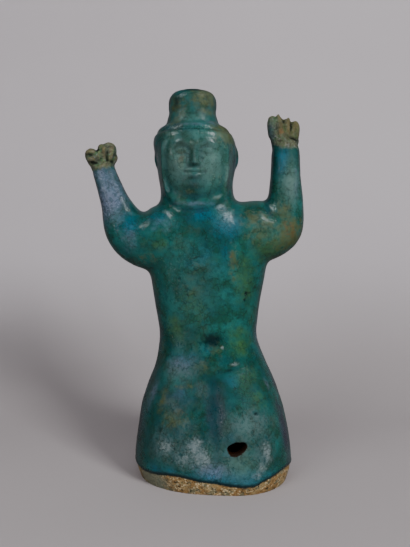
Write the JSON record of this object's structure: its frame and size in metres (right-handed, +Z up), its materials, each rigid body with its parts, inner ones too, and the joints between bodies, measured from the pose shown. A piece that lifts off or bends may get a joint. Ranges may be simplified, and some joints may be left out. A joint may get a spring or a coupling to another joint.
{
  "type": "orant figurine",
  "caption": "Hollow turquoise-glazed clay figurine of a kneeling orant with both arms raised and a crown shaped like a bottle's neck.",
  "frame": {"origin": "middle of the flat underside, where the figurine stands", "axes": "+Z up along the figure to its crown, -Y the way the face looks, +X to the figure's left, the viewer's right"},
  "size_m": [0.1202, 0.0786, 0.213],
  "materials": {
    "glazed_clay": "glossy turquoise glaze with a fine crackle, dulled and stained by burial, and bare tan clay round the foot"
  },
  "bodies": {
    "root": {"orant_figurine": "glazed_clay"}
  },
  "joints": []
}
